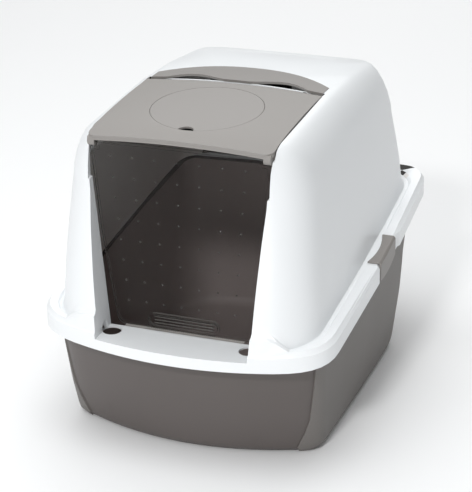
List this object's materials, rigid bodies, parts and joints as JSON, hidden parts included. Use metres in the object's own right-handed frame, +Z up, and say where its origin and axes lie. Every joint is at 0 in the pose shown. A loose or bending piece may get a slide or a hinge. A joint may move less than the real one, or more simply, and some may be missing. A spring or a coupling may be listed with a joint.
{
  "type": "hooded cat litter box",
  "caption": "Hooded cat litter box: tapered tub, lift-off domed hood held by side latches, and a flip-up roof panel that carries a clear swing door and a round filter lid.",
  "frame": {"origin": "on the floor, under the middle of the box that encloses the part", "axes": "+Z up, -Y towards the doorway, +X to the right seen from the doorway"},
  "size_m": [0.4386, 0.57, 0.4653],
  "materials": {
    "tub_grey": "warm dark grey moulded polypropylene, satin",
    "hood_white": "cool white moulded polypropylene, glossy",
    "cover_grey": "warm light grey moulded polypropylene, satin",
    "lid_grey": "warm light grey moulded polypropylene, satin",
    "handle_grey": "warm light grey moulded polypropylene, satin",
    "latch_grey": "warm mid grey moulded polypropylene, satin",
    "door_smoke": "smoked transparent styrene, polished",
    "carbon_felt": "black carbon felt"
  },
  "bodies": {
    "tub": {"base_pan": "tub_grey"},
    "hood": {"hood_shell": "hood_white", "carry_handle": "handle_grey"},
    "cover": {"access_cover": "cover_grey", "carbon_filter": "carbon_felt"},
    "lid": {"filter_lid": "lid_grey"},
    "door": {"swing_door": "door_smoke"},
    "clip_left": {"latch_left": "latch_grey"},
    "clip_right": {"latch_right": "latch_grey"}
  },
  "joints": [
    {"name": "hood_lift", "type": "slide", "parent": "tub", "child": "hood", "axis": [0, 0, 1], "range_m": [0, 0.25]},
    {"name": "cover_flip", "type": "hinge", "parent": "hood", "child": "cover", "pos_m": [0, -0.0205, 0.449], "axis": [-1, 0, 0], "range_deg": [0, 90]},
    {"name": "door_swing", "type": "hinge", "parent": "cover", "child": "door", "pos_m": [0, -0.219, 0.435], "axis": [1, 0, 0], "range_deg": [-80, 75]},
    {"name": "filter_lid_lift", "type": "slide", "parent": "cover", "child": "lid", "axis": [0, -0.0624, 0.998], "range_m": [0, 0.06]},
    {"name": "latch_left_swing", "type": "hinge", "parent": "hood", "child": "clip_left", "pos_m": [-0.1975, 0.035, 0.22095], "axis": [0, 0.9894, 0.1454], "range_deg": [0, 60]},
    {"name": "latch_right_swing", "type": "hinge", "parent": "hood", "child": "clip_right", "pos_m": [0.1975, 0.035, 0.22095], "axis": [0, -0.9894, -0.1454], "range_deg": [0, 60]}
  ]
}
